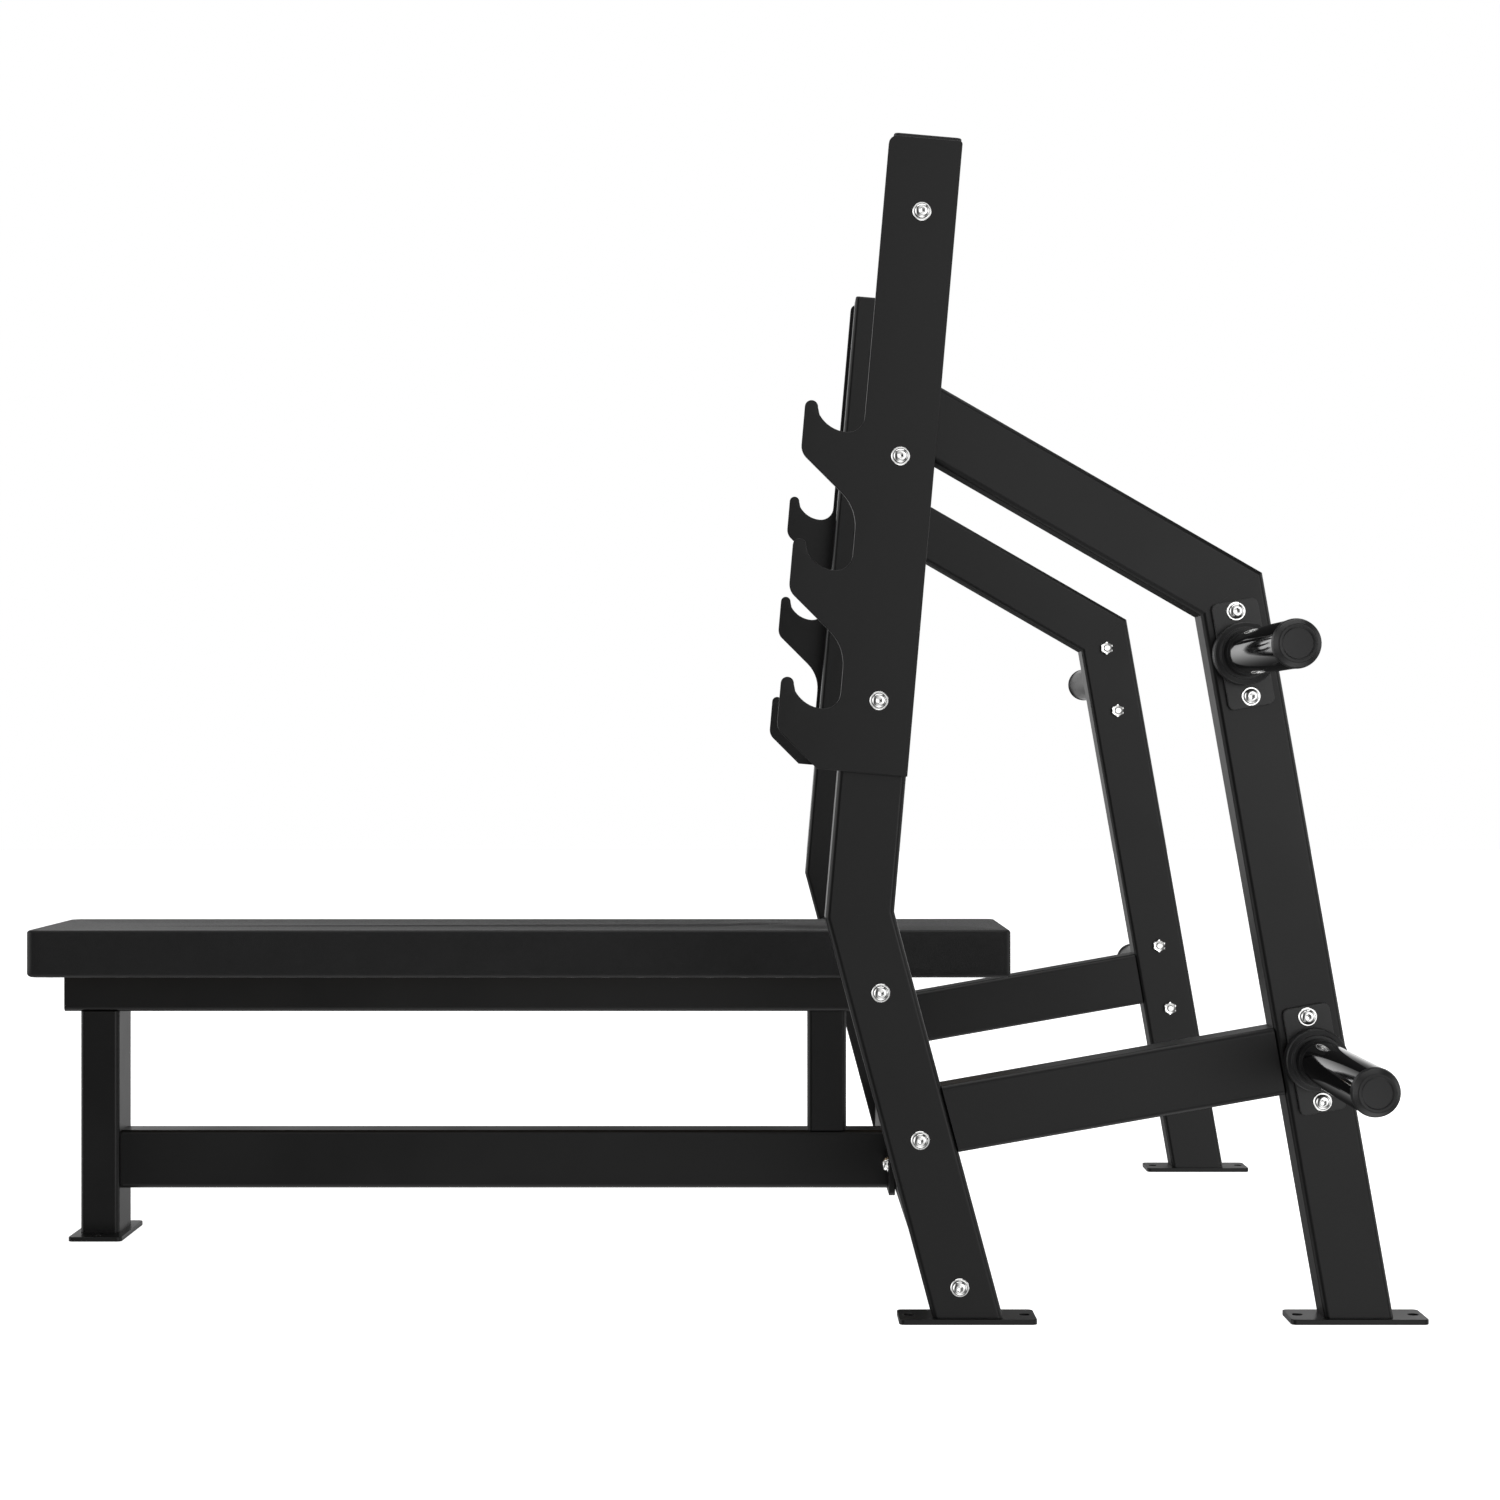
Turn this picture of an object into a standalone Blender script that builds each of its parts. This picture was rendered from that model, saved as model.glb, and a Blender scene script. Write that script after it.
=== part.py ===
"""Olympic bench press with three-position bar hooks and four plate-storage horns.

Two side frames of rectangular tube stand either side of a flat bench. A cross beam ties them together at the foot,
and the bench's lower rail is bolted to the middle of that beam.

Metres. +X runs from the lifter's feet towards the rack's rear, +Y to the lifter's right, +Z up. The origin is on the
floor, under the middle of the whole object.
"""

from math import cos, pi, radians, sin, tan

import bmesh
import bpy
from mathutils import Matrix, Vector

GAP = 0.0003

# Rectangular tube stock: 3 x 2 inch.
TUBE_WIDE = 0.0762
TUBE_DEEP = 0.0508
TUBE_WALL = 0.003
TUBE_RADIUS = 0.006
CORNER_STEPS = 2

# Side frames: the centre plane of each is this far from the bench's centre plane.
FRAME_Y = 0.5646
INNER_Y = FRAME_Y - TUBE_DEEP / 2
UPRIGHT_LEAN = radians(5)
FRONT_LEG_LEAN = radians(15)
REAR_ARM_FALL = radians(30)
REAR_LEG_LEAN = radians(10)
BRACE_RISE = radians(10)
UPRIGHT_BEND = (0.2096, 0.456)
UPRIGHT_LENGTH = 0.8697
REAR_BEND = (0.6242, 0.8139)
BRACE_POINT = (0.4103, 0.2455)

FOOT_LONG = 0.154
FOOT_WIDE = 0.060
FOOT_Y = 0.566
FOOT_THICK = 0.006
FOOT_RADIUS = 0.006
FOOT_HOLE_RADIUS = 0.006
FOOT_HOLE_STEPS = 16
FOOT_HOLE_INSET = 0.012

# M10 through bolts: button head and washer outside, hex nut inside.
BOLT_RADIUS = 0.005
BOLT_HOLE_RADIUS = 0.0056
BOLT_STEPS = 8
WASHER_RADIUS = 0.0105
WASHER_THICK = 0.002
HEAD_RADIUS = 0.00875
HEAD_HIGH = 0.0055
HEAD_CROWN_RADIUS = 0.55 * HEAD_RADIUS
HEAD_CROWN_HIGH = 0.86 * HEAD_HIGH
HEAD_SHOULDER_HIGH = 0.25 * HEAD_HIGH
NUT_ACROSS = 0.017
NUT_HIGH = 0.008
THREAD_PAST_NUT = 0.003

# Hook plates, measured down from the plate's top edge and forward from its front edge.
HOOK_THICK = 0.008
HOOK_WIDE = 0.0818
HOOK_FRONT = 0.0431
HOOK_LONG = 0.7096
HOOK_TOP_RADIUS = 0.009
HOOK_TOP_BELOW_UPRIGHT = 0.0019
HOOK_BOLTS_DOWN = (0.082, 0.355, 0.628)
HOOK_CUPS = 3
FIRST_CUP_DOWN = 0.3335
CUP_PITCH = 0.1544
CUP_REAR_RADIUS = 0.019
CUP_FRONT_RADIUS = 0.038
CUP_FRONT_TURN = radians(56)
LIP_FORWARD = 0.0676
LIP_RADIUS = 0.0074
LIP_HIGH = 0.032
CHIN_BELOW_CUP = 0.0264
CHIN_RADIUS = 0.018
THROAT_RADIUS = 0.052
UNDERSIDE_FALL = radians(40)

FRONT_LEG_BOLTS_DOWN = (0.090, 0.260, 0.430)

# Cross beam and its end plates.
BEAM_X = 0.276
BEAM_Z = (0.0631, 0.1393)
END_PLATE_THICK = 0.008
END_PLATE_WIDE = 0.075
END_PLATE_LONG = 0.390
END_PLATE_RADIUS = 0.006

# Plate-storage horns.
HORN_HEIGHTS = {"upper": 0.747, "lower": 0.296}
HORN_PLATE_LONG = 0.120
HORN_PLATE_WIDE = 0.052
HORN_PLATE_THICK = 0.006
HORN_PLATE_RADIUS = 0.006
HORN_BOLT_REACH = 0.048
HORN_RADIUS = 0.025
HORN_WALL = 0.003
HORN_END_Y = 0.897
HORN_STEPS = 20
COLLAR_RADIUS = 0.035
COLLAR_STEP_RADIUS = 0.0285
COLLAR_BORE_RADIUS = 0.0256
COLLAR_LONG = 0.022
COLLAR_CHAMFER = 0.001
COLLAR_STEP_HEIGHTS = (0.75 * COLLAR_LONG, 0.68 * COLLAR_LONG, 0.60 * COLLAR_LONG)
CAP_HIGH = 0.012
CAP_RADIUS = 0.0255
CAP_PLUG_LONG = 0.020
CAP_RECESS = 0.0008
CAP_RECESS_RADIUS = 0.62 * CAP_RADIUS
CAP_RIM_RADII = (0.68 * CAP_RADIUS, 0.86 * CAP_RADIUS)
CAP_SHOULDER_HIGH = 0.70 * CAP_HIGH

# Bench frame.
BENCH_LEG_X = -0.7661
BENCH_FOOT = (0.070, 0.134)
MID_LEG_X = 0.1884
BENCH_BEAM_X = (-0.8126, 0.237)
BENCH_BEAM_TOP = 0.3478
RAIL_PLATE_THICK = 0.008
RAIL_PLATE_SIZE = (0.142, 0.082)
RAIL_PLATE_RADIUS = 0.006
RAIL_BOLT_Y = 0.050
RAIL_BOLT_Z = 0.099

# Pad: upholstery over a board that sits in a recess underneath.
PAD_X = (-0.8415, 0.4217)
PAD_WIDE = 0.250
PAD_HIGH = 0.0609
PAD_PLAN_RADIUS = 0.010
PAD_EDGE_RADIUS = 0.006
PAD_EDGE_STEPS = 3
BOARD_THICK = 0.015
BOARD_INSET = 0.012
PAD_BOLTS_X = (-0.524, 0.0985)
PAD_BOLT_DEPTH = 0.010


def new_collection(name):
    collection = bpy.data.collections.new(name)
    bpy.context.scene.collection.children.link(collection)
    return collection


def make_material(name, colour, roughness, metallic=0.0):
    material = bpy.data.materials.new(name)
    material.use_nodes = True
    shader = material.node_tree.nodes["Principled BSDF"]
    shader.inputs["Base Color"].default_value = (*colour, 1)
    shader.inputs["Roughness"].default_value = roughness
    shader.inputs["Metallic"].default_value = metallic
    return material


def place(name, mesh, look, collection):
    piece = bpy.data.objects.new(name, mesh)
    collection.objects.link(piece)
    piece.data.materials.append(look)
    return piece


def axes_matrix(x_axis, y_axis, origin):
    """A frame with these x and y axes, and z square to both."""
    x_axis, y_axis = Vector(x_axis).normalized(), Vector(y_axis).normalized()
    turned = Matrix((x_axis, y_axis, x_axis.cross(y_axis))).transposed()
    return Matrix.Translation(origin) @ turned.to_4x4()


def arc(centre, radius, start, end, steps):
    """Points on an arc about centre, from the angle start to the angle end in radians, both included."""
    turns = [start + (end - start) * step / steps for step in range(steps + 1)]
    return [(centre[0] + radius * cos(turn), centre[1] + radius * sin(turn)) for turn in turns]


def circle(centre, radius, steps):
    return arc(centre, radius, 0, 2 * pi, steps)[:-1]


def rounded_rectangle(wide, high, radius, steps=CORNER_STEPS):
    points = []
    for quarter, (x_side, y_side) in enumerate(((1, 1), (-1, 1), (-1, -1), (1, -1))):
        centre = (x_side * (wide / 2 - radius), y_side * (high / 2 - radius))
        points += arc(centre, radius, quarter * pi / 2, (quarter + 1) * pi / 2, steps)
    return points


def extruded(name, outlines, thick, matrix):
    """A mesh from a filled 2D outline with holes, extruded evenly to both sides of the matrix's xy plane."""
    curve = bpy.data.curves.new(name, "CURVE")
    curve.dimensions = "2D"
    curve.fill_mode = "BOTH"
    curve.extrude = thick / 2
    for outline in outlines:
        spline = curve.splines.new("POLY")
        spline.points.add(len(outline) - 1)
        spline.use_cyclic_u = True
        for point, (x, y) in zip(spline.points, outline):
            point.co = (x, y, 0, 1)
    drawn = bpy.data.objects.new(name, curve)
    bpy.context.scene.collection.objects.link(drawn)
    graph = bpy.context.evaluated_depsgraph_get()
    mesh = bpy.data.meshes.new_from_object(drawn.evaluated_get(graph))
    bpy.data.objects.remove(drawn)
    bpy.data.curves.remove(curve)
    mesh.transform(matrix)
    mesh.materials.clear()
    weld(mesh)
    return mesh


def weld(mesh):
    """Joins the loose caps to the sides, and turns every face outwards."""
    edit = bmesh.new()
    edit.from_mesh(mesh)
    bmesh.ops.remove_doubles(edit, verts=edit.verts, dist=0.00002)
    bmesh.ops.recalc_face_normals(edit, faces=edit.faces)
    edit.to_mesh(mesh)
    edit.free()


def cylinder_mesh(name, ends, radius, steps):
    """A closed cylinder between two points."""
    start, end = (Vector(point) for point in ends)
    along = end - start
    turned = along.to_track_quat("Z", "Y").to_matrix().to_4x4()
    edit = bmesh.new()
    bmesh.ops.create_cone(
        edit, cap_ends=True, segments=steps, radius1=radius, radius2=radius, depth=along.length,
        matrix=Matrix.Translation((start + end) / 2) @ turned,
    )
    mesh = bpy.data.meshes.new(name)
    edit.to_mesh(mesh)
    edit.free()
    return mesh


def joined_mesh(name, meshes):
    """One mesh that holds several separate shapes."""
    edit = bmesh.new()
    for mesh in meshes:
        edit.from_mesh(mesh)
        bpy.data.meshes.remove(mesh)
    mesh = bpy.data.meshes.new(name)
    edit.to_mesh(mesh)
    edit.free()
    return mesh


def combine(piece, mesh, operation):
    """Cuts the mesh from the piece or joins it to the piece, with an exact Boolean."""
    other = bpy.data.objects.new(f"{mesh.name}_helper", mesh)
    CUTTERS.objects.link(other)
    other.hide_render = True
    other.display_type = "WIRE"
    modifier = piece.modifiers.new(mesh.name, "BOOLEAN")
    modifier.operation = operation
    modifier.solver = "EXACT"
    modifier.object = other


def drill(piece, spots, direction, reach, radius=BOLT_HOLE_RADIUS, steps=BOLT_STEPS):
    """Round holes through the piece at each spot, reaching this far to both sides of it."""
    reach_vector = Vector(direction).normalized() * reach
    ends = [(Vector(spot) - reach_vector, Vector(spot) + reach_vector) for spot in spots]
    name = f"{piece.name}_holes"
    combine(piece, joined_mesh(name, [cylinder_mesh(name, pair, radius, steps) for pair in ends]), "DIFFERENCE")


def tube(name, start, end, size, depth_axis, start_face=None, end_face=None, look=None):
    """Hollow rectangular tube between two centreline points.

    size is across the centreline, then along depth_axis. Each end is slid along the tube onto its face, a plane
    through the centreline point whose normal points out of the tube. An end with no face is cut square.
    """
    start, end = Vector(start), Vector(end)
    along = (end - start).normalized()
    width_axis = Vector(depth_axis).cross(along)
    wide, deep = size
    outlines = [
        rounded_rectangle(wide, deep, TUBE_RADIUS),
        rounded_rectangle(wide - 2 * TUBE_WALL, deep - 2 * TUBE_WALL, TUBE_RADIUS - TUBE_WALL),
    ]
    middle = (start + end) / 2
    mesh = extruded(name, outlines, (end - start).length, axes_matrix(width_axis, depth_axis, middle))
    for point, face, side in ((start, start_face, -1), (end, end_face, 1)):
        normal = Vector(face).normalized() if face else along * side
        for vertex in mesh.vertices:
            if (vertex.co - middle).dot(along) * side > 0:
                vertex.co += along * ((point - vertex.co).dot(normal) / along.dot(normal))
    return place(name, mesh, look or POWDER_BLACK, PARTS)


def direction(lean):
    """Straight up in the side frame's plane, tipped towards +X by lean."""
    return Vector((sin(lean), 0, cos(lean)))


def flat_normal(towards):
    """Square to this direction, in the side frame's plane, on its front side."""
    return Vector((-towards.z, 0, towards.x))


def meeting(point, along, plane_point, plane_normal):
    """Where the line through point meets the plane."""
    return point + along * ((plane_point - point).dot(plane_normal) / along.dot(plane_normal))


def side_plane(spot, side, y=FRAME_Y):
    """A point in one side frame from its place along X and Z."""
    return Vector((spot[0], side * y, spot[-1]))


def turned(name, profile, steps, origin, axis, look):
    """A solid turned about an axis, from (radius, height) pairs that run from the top down its outer side.

    A profile that starts off the axis is a ring, and joins back to its first pair.
    """
    count = len(profile)
    is_ring = profile[0][0] > 0
    edges = [(index, (index + 1) % count) for index in range(count if is_ring else count - 1)]
    mesh = bpy.data.meshes.new(name)
    mesh.from_pydata([(radius, 0, height) for radius, height in profile], edges, [])
    piece = place(name, mesh, look, PARTS)
    piece.matrix_world = Matrix.Translation(origin) @ Vector(axis).to_track_quat("Z", "Y").to_matrix().to_4x4()
    screw = piece.modifiers.new("turn", "SCREW")
    screw.axis = "Z"
    screw.steps = steps
    screw.render_steps = steps
    screw.use_merge_vertices = True
    screw.merge_threshold = 0.00001
    return piece


def bolt_profile(thread_end):
    """Half the section of a button-head bolt and its washer, whose underside is at height 0."""
    return [
        (0, WASHER_THICK + HEAD_HIGH),
        (HEAD_CROWN_RADIUS, WASHER_THICK + HEAD_CROWN_HIGH),
        (HEAD_RADIUS, WASHER_THICK + HEAD_SHOULDER_HIGH),
        (HEAD_RADIUS, WASHER_THICK),
        (WASHER_RADIUS, WASHER_THICK),
        (WASHER_RADIUS, 0),
        (BOLT_RADIUS, 0),
        (BOLT_RADIUS, thread_end),
        (0, thread_end),
    ]


def through_bolt(name, seat, axis, grip):
    """Button-head bolt and washer on seat, facing axis, with a hex nut at the far end of its grip."""
    seat, axis = Vector(seat), Vector(axis).normalized()
    nut_seat = -grip - 2 * GAP
    nut_end = nut_seat - NUT_HIGH
    thread_end = nut_end - THREAD_PAST_NUT
    base = seat + axis * GAP
    piece = turned(name, bolt_profile(thread_end), BOLT_STEPS, base, axis, ZINC_STEEL)
    nut_ends = (base + axis * nut_seat, base + axis * nut_end)
    nut = cylinder_mesh(f"{name}_nut", nut_ends, NUT_ACROSS / 2 / cos(pi / 6), 6)
    combine(piece, nut, "UNION")
    return piece


def foot_plate(name, centre, size, hole_spots):
    outlines = [rounded_rectangle(size[0], size[1], FOOT_RADIUS, 5)]
    outlines += [circle(spot, FOOT_HOLE_RADIUS, FOOT_HOLE_STEPS) for spot in hole_spots]
    matrix = Matrix.Translation((centre[0], centre[1], FOOT_THICK / 2))
    place(name, extruded(name, outlines, FOOT_THICK, matrix), POWDER_BLACK, PARTS)


def side_foot_plate(name, x, side):
    hole = FOOT_LONG / 2 - FOOT_HOLE_INSET
    foot_plate(name, (x, side * FOOT_Y), (FOOT_LONG, FOOT_WIDE), [(hole, 0), (-hole, 0)])


def hook_outline():
    """The hook plate's edge as (forward, up) pairs from its top front corner, once round."""
    quarter = pi / 2
    # Chin and throat both turn between the plate's straight edge and the sloping underside.
    turn = quarter - UNDERSIDE_FALL
    chin_tangent, throat_tangent = (radius * tan(turn / 2) for radius in (CHIN_RADIUS, THROAT_RADIUS))
    rear_corner_radius = HOOK_TOP_RADIUS / 3
    points = arc((-HOOK_TOP_RADIUS, -HOOK_TOP_RADIUS), HOOK_TOP_RADIUS, quarter, 0, 6)
    for cup in range(HOOK_CUPS):
        base = -(FIRST_CUP_DOWN + cup * CUP_PITCH)
        rear_centre = (CUP_REAR_RADIUS, base + CUP_REAR_RADIUS)
        front_centre = (CUP_REAR_RADIUS, base + CUP_FRONT_RADIUS)
        lip_centre = (LIP_FORWARD - LIP_RADIUS, base + LIP_HIGH - LIP_RADIUS)
        chin_centre = (LIP_FORWARD - CHIN_RADIUS, base - CHIN_BELOW_CUP + chin_tangent)
        points += arc(rear_centre, CUP_REAR_RADIUS, 2 * quarter, 3 * quarter, 9)
        points += arc(front_centre, CUP_FRONT_RADIUS, -quarter, CUP_FRONT_TURN - quarter, 8)[1:]
        points += arc(lip_centre, LIP_RADIUS, 2 * quarter, 0, 12)
        points += arc(chin_centre, CHIN_RADIUS, 0, -turn, 5)
        # Where the underside, carried on, would meet the line of the plate's front edge.
        meets_edge = base - CHIN_BELOW_CUP - LIP_FORWARD * tan(UNDERSIDE_FALL)
        if cup < HOOK_CUPS - 1:
            throat_centre = (THROAT_RADIUS, meets_edge - throat_tangent)
            points += arc(throat_centre, THROAT_RADIUS, 2 * quarter - turn, 2 * quarter, 7)
        else:
            points.append(((-HOOK_LONG - meets_edge) / tan(UNDERSIDE_FALL), -HOOK_LONG))
    points.append((-HOOK_WIDE, -HOOK_LONG))
    points += arc((rear_corner_radius - HOOK_WIDE, -rear_corner_radius), rear_corner_radius, pi, quarter, 2)
    return points


def side_frame(label, side):
    """One welded side frame, side being -1 on the lifter's left and +1 on the right."""
    size, depth_axis = (TUBE_WIDE, TUBE_DEEP), (0, 1, 0)
    up = direction(UPRIGHT_LEAN)
    down_leg = -direction(-FRONT_LEG_LEAN)
    bend = side_plane(UPRIGHT_BEND, side)
    top = bend + up * UPRIGHT_LENGTH
    foot_top = Vector((0, 0, FOOT_THICK + GAP))
    front_foot = meeting(bend, down_leg, foot_top, Vector((0, 0, 1)))
    mitre = (down_leg - up).normalized()
    half_gap = mitre * GAP / 2

    upright = tube(f"upright_tube_{label}", bend - half_gap, top, size, depth_axis, start_face=mitre)
    front_leg = tube(
        f"front_leg_tube_{label}", bend + half_gap, front_foot, size, depth_axis, start_face=-mitre,
        end_face=(0, 0, -1),
    )

    rear_bend = side_plane(REAR_BEND, side)
    arm_down = Vector((cos(REAR_ARM_FALL), 0, -sin(REAR_ARM_FALL)))
    rear_down = -direction(-REAR_LEG_LEAN)
    upright_rear = bend - flat_normal(up) * (TUBE_WIDE / 2 + GAP)
    arm_start = meeting(rear_bend, arm_down, upright_rear, flat_normal(up))
    rear_mitre = (arm_down + rear_down).normalized()
    rear_half_gap = rear_mitre * GAP / 2
    tube(
        f"rear_arm_tube_{label}", arm_start, rear_bend - rear_half_gap, size, depth_axis,
        start_face=flat_normal(up), end_face=rear_mitre,
    )
    rear_foot = meeting(rear_bend, rear_down, foot_top, Vector((0, 0, 1)))
    rear_leg = tube(
        f"rear_leg_tube_{label}", rear_bend + rear_half_gap, rear_foot, size, depth_axis,
        start_face=-rear_mitre, end_face=(0, 0, -1),
    )

    brace_along = Vector((cos(BRACE_RISE), 0, sin(BRACE_RISE)))
    brace_point = side_plane(BRACE_POINT, side)
    front_normal, rear_normal = flat_normal(-down_leg), flat_normal(-rear_down)
    leg_rear = bend - front_normal * (TUBE_WIDE / 2 + GAP)
    leg_front = rear_bend + rear_normal * (TUBE_WIDE / 2 + GAP)
    tube(
        f"side_brace_tube_{label}", meeting(brace_point, brace_along, leg_rear, front_normal),
        meeting(brace_point, brace_along, leg_front, rear_normal), size, depth_axis,
        start_face=front_normal, end_face=-rear_normal,
    )
    side_foot_plate(f"front_foot_plate_{label}", front_foot.x, side)
    side_foot_plate(f"rear_foot_plate_{label}", rear_foot.x, side)

    outward = Vector((0, side, 0))
    hook_plate(label, side, top - up * HOOK_TOP_BELOW_UPRIGHT, up, upright)
    leg_spots = [bend + down_leg * down for down in FRONT_LEG_BOLTS_DOWN]
    drill(front_leg, leg_spots, outward, TUBE_DEEP)
    for number, spot in enumerate(leg_spots, 1):
        seat = spot + outward * TUBE_DEEP / 2
        through_bolt(f"leg_bolt_{number}_{label}", seat, outward, TUBE_DEEP + GAP + END_PLATE_THICK)
    horns(label, side, rear_bend, rear_down, rear_leg)


def hook_plate(label, side, top, up, upright):
    """The plate of bar hooks on the upright's outer face, its top edge at top, and its bolts."""
    outward = Vector((0, side, 0))
    name = f"hook_plate_{label}"
    front = flat_normal(up)
    middle = top + outward * (TUBE_DEEP / 2 + GAP + HOOK_THICK / 2)
    outlines = [hook_outline()]
    outlines += [circle((-HOOK_FRONT, -down), BOLT_HOLE_RADIUS, BOLT_STEPS) for down in HOOK_BOLTS_DOWN]
    corner = middle + front * HOOK_FRONT
    place(name, extruded(name, outlines, HOOK_THICK, axes_matrix(front, up, corner)), POWDER_BLACK, PARTS)
    spots = [top - up * down for down in HOOK_BOLTS_DOWN]
    drill(upright, spots, outward, TUBE_DEEP)
    for number, spot in enumerate(spots, 1):
        seat = spot + outward * (TUBE_DEEP / 2 + GAP + HOOK_THICK)
        through_bolt(f"hook_bolt_{number}_{label}", seat, outward, TUBE_DEEP + GAP + HOOK_THICK)


def horns(label, side, rear_bend, rear_down, rear_leg):
    """The two plate-storage horns on the rear leg's outer face, with collars, caps and bolts."""
    outward = Vector((0, side, 0))
    spots = []
    for level, height in HORN_HEIGHTS.items():
        centre = meeting(rear_bend, rear_down, Vector((0, 0, height)), Vector((0, 0, 1)))
        bolts = [centre - rear_down * HORN_BOLT_REACH, centre + rear_down * HORN_BOLT_REACH]
        spots += bolts
        seat = centre + outward * (TUBE_DEEP / 2 + GAP)
        horn(f"{level}_horn_{label}", seat, side, rear_down)
        for place_name, spot in zip(("top", "bottom"), bolts):
            bolt_seat = spot + outward * (TUBE_DEEP / 2 + GAP + HORN_PLATE_THICK)
            bolt_name = f"{level}_horn_bolt_{place_name}_{label}"
            through_bolt(bolt_name, bolt_seat, outward, TUBE_DEEP + GAP + HORN_PLATE_THICK)
    drill(rear_leg, spots, outward, TUBE_DEEP)


def horn(name, seat, side, rear_down):
    """Base plate and round tube as one weldment, a collar at its root and a cap in its end."""
    outward = Vector((0, side, 0))
    outlines = [rounded_rectangle(HORN_PLATE_WIDE, HORN_PLATE_LONG, HORN_PLATE_RADIUS)]
    outlines += [circle((0, reach), BOLT_HOLE_RADIUS, BOLT_STEPS) for reach in (-HORN_BOLT_REACH, HORN_BOLT_REACH)]
    middle = seat + outward * HORN_PLATE_THICK / 2
    matrix = axes_matrix(flat_normal(-rear_down), -rear_down, middle)
    piece = place(name, extruded(name, outlines, HORN_PLATE_THICK, matrix), POWDER_BLACK, PARTS)

    end = side_plane(seat, side, HORN_END_Y)
    root = middle
    inside = HORN_RADIUS - HORN_WALL
    rings = [circle((0, 0), HORN_RADIUS, HORN_STEPS), circle((0, 0), inside, HORN_STEPS)]
    pipe_matrix = axes_matrix(flat_normal(-rear_down), -rear_down, (root + end) / 2)
    combine(piece, extruded(f"{name}_pipe", rings, (end - root).length, pipe_matrix), "UNION")

    collar_seat = seat + outward * (HORN_PLATE_THICK + GAP)
    step_top, step_foot, shoulder = COLLAR_STEP_HEIGHTS
    collar_profile = [
        (COLLAR_BORE_RADIUS, COLLAR_LONG),
        (COLLAR_STEP_RADIUS, COLLAR_LONG),
        (COLLAR_STEP_RADIUS + COLLAR_CHAMFER, step_top),
        (COLLAR_RADIUS - COLLAR_CHAMFER, step_foot),
        (COLLAR_RADIUS, shoulder),
        (COLLAR_RADIUS, 0),
        (COLLAR_BORE_RADIUS, 0),
    ]
    collar_name = name.replace("horn", "horn_collar")
    turned(collar_name, collar_profile, HORN_STEPS, collar_seat, outward, BLACK_PLASTIC)

    plug_radius = inside - GAP * 2
    rim_inner, rim_outer = CAP_RIM_RADII
    cap_profile = [
        (0, CAP_HIGH - CAP_RECESS),
        (CAP_RECESS_RADIUS, CAP_HIGH - CAP_RECESS),
        (rim_inner, CAP_HIGH),
        (rim_outer, CAP_HIGH),
        (CAP_RADIUS, CAP_SHOULDER_HIGH),
        (CAP_RADIUS, 0),
        (plug_radius, 0),
        (plug_radius, -CAP_PLUG_LONG),
        (0, -CAP_PLUG_LONG),
    ]
    cap_name = name.replace("horn", "horn_cap")
    turned(cap_name, cap_profile, HORN_STEPS, end + outward * GAP, outward, BLACK_PLASTIC)


def cross_beam():
    """Tube between the front legs, welded to a bolted plate at each end, with the rail's two bolt holes."""
    name = "crossbeam"
    plate_face = INNER_Y - GAP
    beam_end = plate_face - END_PLATE_THICK / 2
    middle_z = sum(BEAM_Z) / 2
    middle_x = BEAM_X + TUBE_DEEP / 2
    size = (TUBE_DEEP, BEAM_Z[1] - BEAM_Z[0])
    beam = tube(name, (middle_x, -beam_end, middle_z), (middle_x, beam_end, middle_z), size, (0, 0, 1))
    up_leg = direction(-FRONT_LEG_LEAN)
    spots = []
    for side in (-1, 1):
        bend = side_plane(UPRIGHT_BEND, side, plate_face - END_PLATE_THICK / 2)
        bolts = [bend - up_leg * down for down in FRONT_LEG_BOLTS_DOWN]
        spots += bolts
        outline = [rounded_rectangle(END_PLATE_WIDE, END_PLATE_LONG, END_PLATE_RADIUS)]
        matrix = axes_matrix(flat_normal(up_leg), up_leg, bolts[1])
        combine(beam, extruded(f"{name}_plate", outline, END_PLATE_THICK, matrix), "UNION")
    drill(beam, spots, (0, 1, 0), END_PLATE_THICK * 2)
    rail_spots = [(middle_x, side * RAIL_BOLT_Y, RAIL_BOLT_Z) for side in (-1, 1)]
    drill(beam, rail_spots, (1, 0, 0), TUBE_DEEP)


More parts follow.
